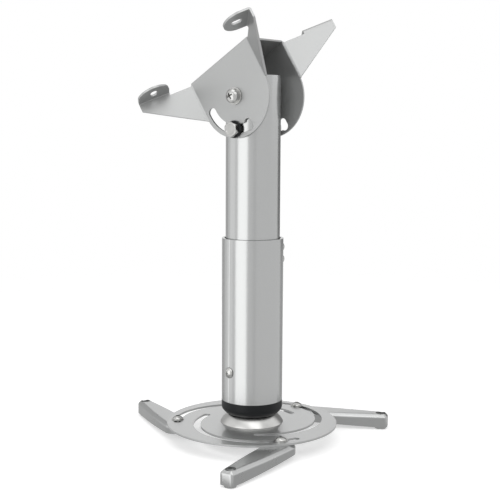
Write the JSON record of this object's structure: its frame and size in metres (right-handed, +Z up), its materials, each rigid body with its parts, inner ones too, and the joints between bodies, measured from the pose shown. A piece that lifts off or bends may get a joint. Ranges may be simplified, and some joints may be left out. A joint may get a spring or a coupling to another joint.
{
  "type": "projector ceiling mount",
  "caption": "Ceiling mount for a projector: a tilting folded bracket, a telescopic round column and a ball joint that carries a slotted round plate with swinging arms.",
  "frame": {"origin": "on the floor that the arm tips stand on, in the middle of the mount's outline seen from above", "axes": "+Z up along the column, from the projector to the ceiling; the bracket's tilt pivot lies along Y with the bolt heads towards -Y; +X is under the bracket's raised end"},
  "size_m": [0.2394, 0.2525, 0.4131],
  "materials": {
    "plate_silver": "glossy silver lacquer on steel sheet",
    "dome_bright": "bright pressed steel",
    "arm_silver": "silver lacquer on die-cast metal",
    "tube_silver": "smooth silver finish on aluminium tube",
    "bracket_silver": "satin silver lacquer on steel sheet",
    "black_plastic": "black moulded plastic",
    "white_plastic": "natural nylon",
    "bright_fastener": "bright zinc plate",
    "spring_steel": "oiled spring steel",
    "bare_aluminium": "bare cast aluminium"
  },
  "bodies": {
    "plate": {"projector_plate": "plate_silver", "ball_dome": "dome_bright"},
    "liner": {"ball_liner": "white_plastic"},
    "clamp": {"clamp_cup": "spring_steel", "clamp_bolt": "bright_fastener", "spring_washers": "bright_fastener", "disc_springs": "spring_steel", "clamp_nut": "bright_fastener"},
    "column": {"end_ring": "black_plastic", "column_insert": "bare_aluminium", "insert_screws": "bright_fastener", "outer_tube": "tube_silver", "guide_bush": "white_plastic", "height_lock_screws": "bright_fastener"},
    "mast": {"upper_tube": "tube_silver", "guide_shoe": "white_plastic", "pivot_bolt": "bright_fastener", "pivot_lock_washer": "bright_fastener", "pivot_washers": "bright_fastener", "pivot_nut": "bright_fastener", "tilt_bolt": "bright_fastener", "tilt_washers": "black_plastic", "tilt_nut": "bright_fastener"},
    "bracket": {"ceiling_bracket": "bracket_silver"},
    "slider_1": {"arm_bolt_1": "bright_fastener", "arm_washer_1": "bright_fastener", "arm_nut_1": "bright_fastener"},
    "arm_1": {"arm_1": "arm_silver"},
    "slider_2": {"arm_bolt_2": "bright_fastener", "arm_washer_2": "bright_fastener", "arm_nut_2": "bright_fastener"},
    "arm_2": {"arm_2": "arm_silver"},
    "slider_3": {"arm_bolt_3": "bright_fastener", "arm_washer_3": "bright_fastener", "arm_nut_3": "bright_fastener"},
    "arm_3": {"arm_3": "arm_silver"}
  },
  "joints": [
    {"name": "arm_slot_1", "type": "hinge", "parent": "plate", "child": "slider_1", "pos_m": [0.01821, -0.00122, 0.018], "axis": [0, 0, 1], "range_deg": [-70, 7]},
    {"name": "arm_swing_1", "type": "hinge", "parent": "slider_1", "child": "arm_1", "pos_m": [-0.03245, -0.03501, 0.016], "axis": [0, 0, 1], "range_deg": [-52.5, 172.5]},
    {"name": "arm_slot_2", "type": "hinge", "parent": "plate", "child": "slider_2", "pos_m": [0.02599, 0.01991, 0.018], "axis": [0, 0, 1], "range_deg": [-70, 15.9]},
    {"name": "arm_swing_2", "type": "hinge", "parent": "slider_2", "child": "arm_2", "pos_m": [0.03151, 0.08056, 0.016], "axis": [0, 0, 1], "range_deg": [-65.5, 159.5]},
    {"name": "arm_slot_3", "type": "hinge", "parent": "plate", "child": "slider_3", "pos_m": [0.0404, 0.00261, 0.018], "axis": [0, 0, 1], "range_deg": [-70, 14.3]},
    {"name": "arm_swing_3", "type": "hinge", "parent": "slider_3", "child": "arm_3", "pos_m": [0.09112, -0.03109, 0.016], "axis": [0, 0, 1], "range_deg": [-55, 170]},
    {"name": "ball_tilt_x", "type": "hinge", "parent": "plate", "child": "liner", "pos_m": [0.0282, 0.0071, 0], "axis": [1, 0, 0], "range_deg": [-12, 12]},
    {"name": "ball_tilt_y", "type": "hinge", "parent": "liner", "child": "clamp", "pos_m": [0.0282, 0.0071, 0], "axis": [0, 1, 0], "range_deg": [-12, 12]},
    {"name": "column_turn", "type": "hinge", "parent": "clamp", "child": "column", "pos_m": [0.0282, 0.0071, 0.041], "axis": [0, 0, 1], "continuous": true},
    {"name": "height_slide", "type": "slide", "parent": "column", "child": "mast", "axis": [0, 0, 1], "range_m": [-0.006, 0.05]},
    {"name": "bracket_tilt", "type": "hinge", "parent": "mast", "child": "bracket", "pos_m": [0.0282, 0.0071, 0.337], "axis": [0, -1, 0], "range_deg": [-32, 58]}
  ]
}
